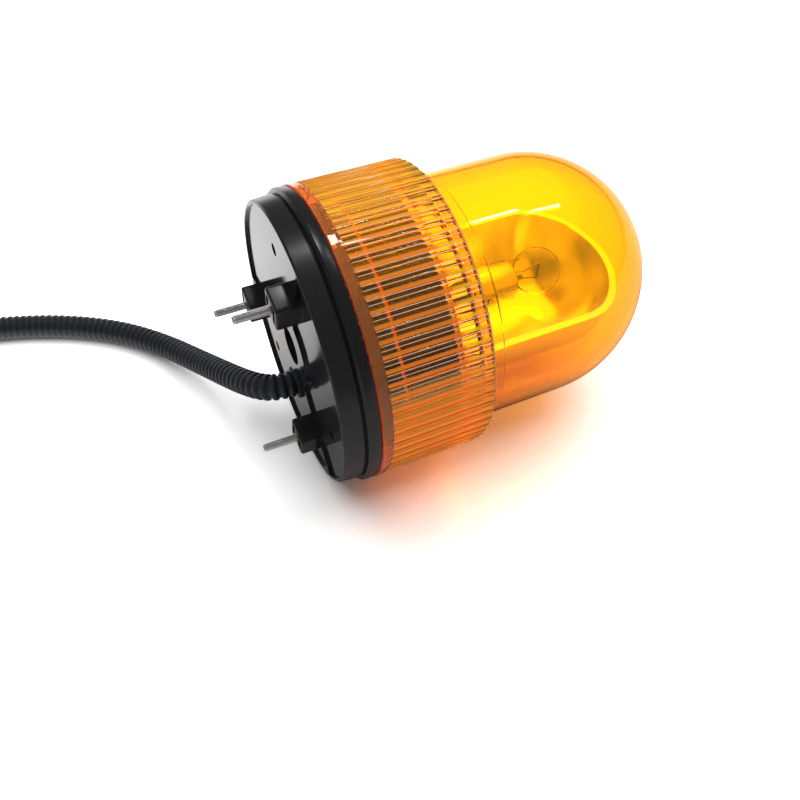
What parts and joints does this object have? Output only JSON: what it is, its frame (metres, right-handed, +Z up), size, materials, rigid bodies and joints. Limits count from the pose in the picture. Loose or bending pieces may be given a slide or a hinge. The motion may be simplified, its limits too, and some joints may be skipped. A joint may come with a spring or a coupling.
{
  "type": "rotating beacon",
  "caption": "Small amber rotating beacon: black base with hollow stud posts and a conduit tail, ribbed bayonet lens with a domed end, and a geared reflector turning round a bulb",
  "frame": {"origin": "on the surface the beacon lies on, under the middle of its length and width, measured without the cord", "axes": "+X along the lamp axis from the base to the dome, +Z up from the surface, +Y to the side where the conduit lies"},
  "size_m": [0.3219, 0.1738, 0.1045],
  "materials": {
    "black_plastic": "satin black ABS",
    "zinc_steel": "bright zinc",
    "black_screw": "blackened",
    "black_rubber": "matt",
    "black_conduit": "satin corrugated",
    "lead_insulation": "soft",
    "tinned_metal": "tinned",
    "motor_steel": "plain",
    "white_plastic": "moulded",
    "magnet": "ferrite",
    "white_gear": "acetal",
    "brass": "turned",
    "mirror_plating": "vacuum-plated plastic",
    "nickel_brass": "nickel-plated",
    "board": "laminate",
    "bulb_glass": "clear",
    "tungsten": "wire",
    "amber_lens": "clear amber, ribbed skirt",
    "capacitor": "sleeved",
    "green_plastic": "moulded"
  },
  "bodies": {
    "base": {"base_cover": "black_plastic", "housing": "black_plastic", "mount_studs": "zinc_steel", "cover_screws": "black_screw", "cord_gland": "black_rubber", "cord_tube": "black_conduit", "cord_boot": "black_rubber", "lead_wires": "lead_insulation", "lead_ferrules": "tinned_metal", "motor_can": "motor_steel", "motor_end_cap": "white_plastic", "motor_magnets": "magnet", "motor_plate": "zinc_steel", "plate_screws": "zinc_steel", "idler_pin": "zinc_steel", "bulb_socket": "nickel_brass", "socket_insulator": "board", "socket_contact": "brass", "bulb_cap": "nickel_brass", "bulb_contact": "tinned_metal", "bulb_glass": "bulb_glass", "bulb_filament": "tungsten", "circuit_board": "board", "capacitors": "capacitor", "terminal_block": "green_plastic", "board_spacers": "black_plastic"},
    "rotor": {"gear_ring": "white_gear", "rotor_carrier": "black_plastic", "rotor_clip": "zinc_steel", "reflector": "mirror_plating", "reflector_screws": "zinc_steel"},
    "idler": {"idler_gear": "white_gear"},
    "motor_shaft": {"motor_rotor": "motor_steel", "motor_pinion": "brass"},
    "seal": {"lens_seal": "black_rubber"},
    "lens": {"lens": "amber_lens"}
  },
  "joints": [
    {"name": "rotor_spin", "type": "hinge", "parent": "base", "child": "rotor", "pos_m": [-0.0079, 0, 0.05225], "axis": [1, 0, 0], "continuous": true},
    {"name": "idler_spin", "type": "hinge", "parent": "base", "child": "idler", "pos_m": [-0.0159, 0, 0.02345], "axis": [1, 0, 0], "continuous": true},
    {"name": "motor_spin", "type": "hinge", "parent": "base", "child": "motor_shaft", "pos_m": [-0.0279, -0.01195, 0.02711], "axis": [1, 0, 0], "continuous": true},
    {"name": "lens_turn", "type": "hinge", "parent": "base", "child": "seal", "pos_m": [-0.0459, 0, 0.05225], "axis": [1, 0, 0], "range_deg": [-20, 0]},
    {"name": "lens_lift", "type": "slide", "parent": "seal", "child": "lens", "axis": [1, 0, 0], "range_m": [0, 0.13]}
  ],
  "couplings": [
    {"joint": "idler_spin", "follows": "rotor_spin", "ratio": -5},
    {"joint": "motor_spin", "follows": "rotor_spin", "ratio": 20}
  ]
}
